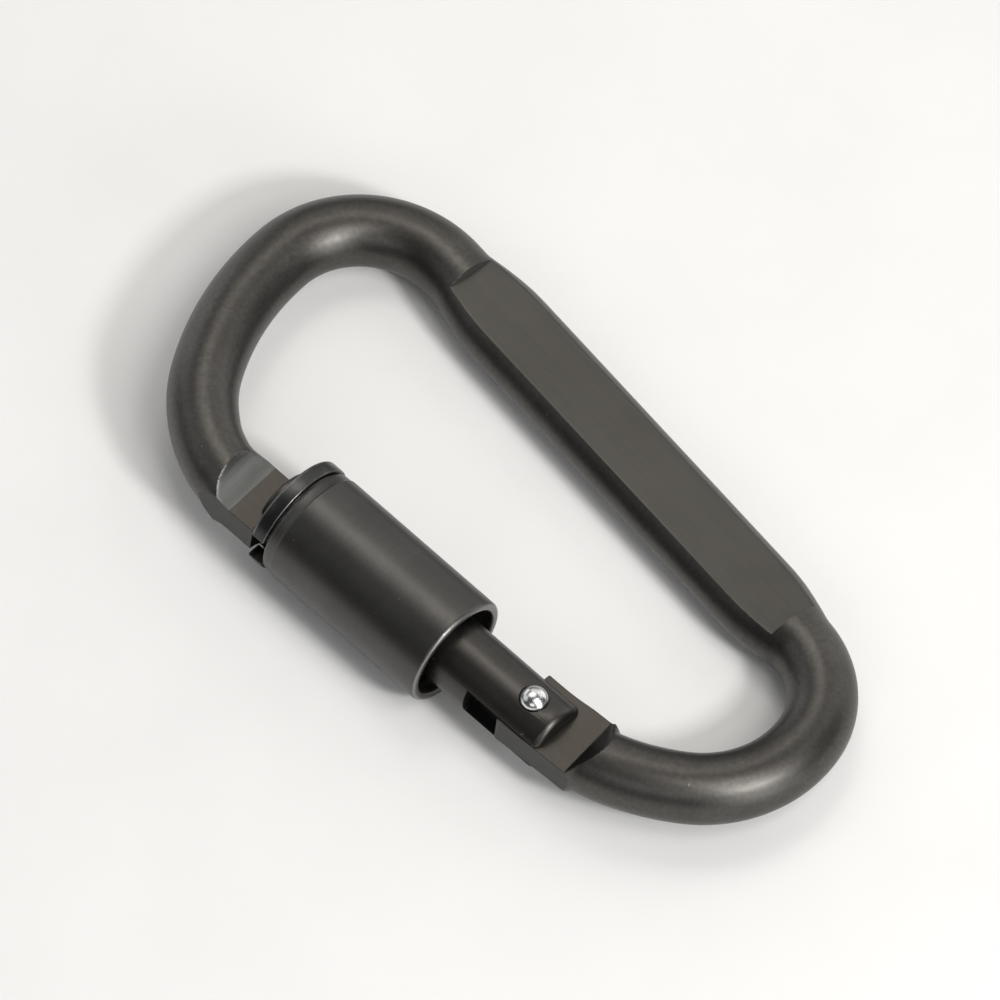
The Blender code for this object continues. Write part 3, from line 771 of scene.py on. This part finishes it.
# --------------------------------------------------------------------------- sleeve
S0, S1, R = 10.1, 30.57, 6.0
sleeve_profile = ([(3.95, S1)] + [(R - 0.36, S1)] + arc(R - 0.36, S1 - 0.22, 0.22, 90, 12, 5)[1:] + [(R - 0.11, S1 - 0.40), (R - 0.10, S1 - 1.08)]
                  + [(R - 0.075, S1 - 1.15), (R - 0.01, S1 - 1.20), (R, S1 - 1.30), (R, S0 + 0.62)]
                  + arc(R - 0.42, S0 + 0.42, 0.42, 0, -90, 8) + [(5.28, S0 + 0.02), (5.17, S0 + 0.10), (5.12, S0 + 0.26), (5.12, S0 + 0.9), (5.16, S0 + 0.98), (5.16, S0 + 1.5), (5.12, S0 + 1.58)]
                  + [(5.12, 24.0), (3.95, 24.0), (3.80, 24.15), (3.80, S1 - 0.16)])
sleeve = spun("sleeve_shell", sleeve_profile, TURN, [SLEEVE_MAT], 160, closed=True)
margin = math.degrees(0.75 / 4.2)
sector = [(0.0, 0.0)] + [(4.78 * math.cos(math.radians(90 - margin + (90 + 2 * margin) * i / 24)), 4.78 * math.sin(math.radians(90 - margin + (90 + 2 * margin) * i / 24))) for i in range(25)]
sector_frame = GATE @ Matrix(((0, 0, 1, 0), (1, 0, 0, 0), (0, 1, 0, 0), (0, 0, 0, 1)))
cut(sleeve, [prism("t_pocket", sector, 23.0, 30.2, sector_frame)])
soften(sleeve, 0.05, 2, 40)
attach(sleeve, "sleeve")
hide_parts("lock_sleeve")

RR = 6.055
ring_profile = ([(4.65, 32.38), (RR - 0.24, 32.38)] + arc(RR - 0.24, 32.38 - 0.24, 0.24, 90, 0, 6)[1:] + arc(RR - 0.14, 30.80 + 0.14, 0.14, 0, -90, 5)
                + [(5.5, 30.80), (5.5, 30.58), (4.60, 30.58), (4.60, 32.33)])
ring = spun("ring_open", ring_profile, TURN, [RING_MAT], 160, closed=True)
side_view = GATE @ Matrix(((1, 0, 0, 0), (0, 0, -1, 0), (0, 1, 0, 0), (0, 0, 0, 1)))
cut(ring, [prism("t_open", [(30, 1.82), (34, 1.82), (34, -1.63), (30, -1.63)], -9, 0, side_view)])
soften(ring, 0.06, 2, 40)
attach(ring, "sleeve")
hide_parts("lock_ring")


# --------------------------------------------------------------------------- springs
def coil(name, mean, wire, s0, s1, turns, mat, body_name, cad, per_turn=26):
    cu = bpy.data.curves.new(name, "CURVE")
    cu.dimensions = "3D"
    cu.bevel_depth = wire / 2 * MM
    cu.bevel_resolution = 4
    cu.use_fill_caps = True
    sp = cu.splines.new("POLY")
    count = int(turns * per_turn)
    sp.points.add(count)
    lo, hi = s0 + wire / 2 + 0.03, s1 - wire / 2 - 0.03
    pe = wire * 1.06
    for i, p in enumerate(sp.points):
        t = turns * i / count
        step = (hi - lo - 2 * pe) / (turns - 2)
        s = lo + pe * t if t < 1 else (hi - pe * (turns - t) if t > turns - 1 else lo + pe + step * (t - 1))
        a = math.tau * t
        p.co = (mean * math.cos(a) * MM, mean * math.sin(a) * MM, s * MM, 1)
    ob = bpy.data.objects.new(name, cu)
    PIECES.objects.link(ob)
    ob.matrix_world = TURN
    bpy.context.view_layer.update()
    mesh = bpy.data.meshes.new_from_object(ob.evaluated_get(bpy.context.evaluated_depsgraph_get()))
    bpy.data.objects.remove(ob, do_unlink=True)
    bm = bmesh.new()
    bm.from_mesh(mesh)
    bmesh.ops.remove_doubles(bm, verts=bm.verts, dist=1e-7)
    bmesh.ops.recalc_face_normals(bm, faces=bm.faces)
    bm.to_mesh(mesh)
    bm.free()
    mesh.materials.clear()
    ob = put(name, mesh, TURN, [mat])
    shade(ob, 60)
    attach(ob, body_name)
    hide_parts(cad)
    return ob


coil("sleeve_coil", 4.38, 0.8, 13.22, 23.35, 6.5, SPRING_MAT, "gate", "sleeve_spring")
coil("gate_coil", 1.02, 0.42, 6.5, 17.0, 9, SPRING_MAT, "gate", "gate_spring")

# carried-over nodes
for name, mat in (("latch_pin", PIN_MAT), ("guide_pin", PIN_MAT), ("gate_plunger", PIN_MAT), ("spring_seat_washer", SPRING_MAT),
                  ("seat_snap_ring", SPRING_MAT), ("sleeve_thrust_washer", SPRING_MAT)):
    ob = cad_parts[name]
    ob.data.materials.clear()
    ob.data.materials.append(mat)

# =========================================================================== stage
# the carabiner lies on the sleeve and on the underside of its spine bends, so the floor is a
# plane through both: level along X and 5 degrees up towards the spine
floor_mesh = bpy.data.meshes.new("floor")
bm = bmesh.new()
bmesh.ops.create_grid(bm, x_segments=2, y_segments=2, size=3.0)
bm.to_mesh(floor_mesh)
bm.free()
floor = bpy.data.objects.new("floor", floor_mesh)
bpy.context.scene.collection.objects.link(floor)
fy = (-28.6 - CY) * MM
tilt = math.atan2(6.10 - 3.56, 28.6)
floor.matrix_world = Matrix.Translation((0, fy, -6.12 * MM)) @ Matrix.Rotation(tilt, 4, "X")
fm, nt, fb = nodes_of("floor_pale")
fb.inputs["Roughness"].default_value = 0.75
fb.inputs["Specular IOR Level"].default_value = 0.2
grain = noise(nt, coords(nt), 0.05, 3.0, 0.5)
nt.links.new(ramp(nt, grain, [(0.3, (0.86, 0.86, 0.86)), (0.7, (0.89, 0.89, 0.89))]), fb.inputs["Base Color"])
floor.data.materials.append(fm)

# camera: from the gate side, high, with the nose end up and to the left
R_ = Vector((0.63454, 0.76858, 0.08153))
U_ = Vector((-0.68214, 0.50731, 0.52661))
V_ = R_.cross(U_).normalized()
U_ = V_.cross(R_).normalized()
cam_data = bpy.data.cameras.new("camera")
cam_data.type = "ORTHO"
cam_data.ortho_scale = 96.5 * MM
cam_data.clip_start = 0.01
cam_data.clip_end = 10
cam = bpy.data.objects.new("camera", cam_data)
bpy.context.scene.collection.objects.link(cam)
target = Vector(((-0.28 - CX) * MM, (-10.74 - CY) * MM, -4.83 * MM))
rot = Matrix((R_, U_, V_)).transposed().to_4x4()
cam.matrix_world = Matrix.Translation(target + V_ * 0.45) @ rot
bpy.context.scene.camera = cam


def softbox(name, direction, distance, size, energy, color=(1, 1, 1)):
    d = Vector(direction).normalized()
    li = bpy.data.lights.new(name, "AREA")
    li.shape = "RECTANGLE"
    li.size, li.size_y = size
    li.energy = energy
    li.color = color
    ob = bpy.data.objects.new(name, li)
    bpy.context.scene.collection.objects.link(ob)
    ob.location = d * distance
    ob.rotation_euler = d.to_track_quat("Z", "Y").to_euler()
    return ob


def sky(azimuth, elevation):
    a, e = math.radians(azimuth), math.radians(elevation)
    return (math.cos(e) * math.cos(a), math.cos(e) * math.sin(a), math.sin(e))


WARM, COOL = (1.0, 0.975, 0.94), (0.97, 0.99, 1.0)
softbox("key_high", sky(0, 64), 0.7, (0.34, 0.34), 1.5, WARM)
softbox("key_hot", sky(2, 40), 0.7, (0.11, 0.11), 2.2, (1.0, 0.99, 0.97))
softbox("side_hinge", sky(0, 36), 0.7, (0.46, 0.46), 0.4)
softbox("low_hinge", sky(0, 12), 0.7, (0.34, 0.30), 1.1)
softbox("top_band", sky(150, 67), 0.7, (0.24, 0.24), 0.6, (1.0, 0.96, 0.90))
softbox("back_right", sky(90, 38), 0.7, (0.46, 0.46), 0.7, WARM)
softbox("back_left", sky(135, 38), 0.7, (0.46, 0.46), 0.5, WARM)
softbox("low_back", sky(90, 12), 0.7, (0.7, 0.28), 0.6)
softbox("low_nose", sky(180, 12), 0.7, (0.46, 0.46), 0.75, COOL)
softbox("high_nose", sky(185, 62), 0.7, (0.30, 0.30), 0.4, WARM)
softbox("front_nose", sky(222, 30), 0.7, (0.46, 0.46), 0.45, COOL)
softbox("front_hinge", sky(305, 32), 0.7, (0.34, 0.26), 0.4)

world = bpy.data.worlds.new("studio")
world.use_nodes = True
bpy.context.scene.world = world
wn = world.node_tree
wn.nodes["Background"].inputs["Strength"].default_value = 0.04
wn.nodes["Background"].inputs["Color"].default_value = (1, 1, 1, 1)
bpy.context.scene.view_settings.view_transform = "Standard"
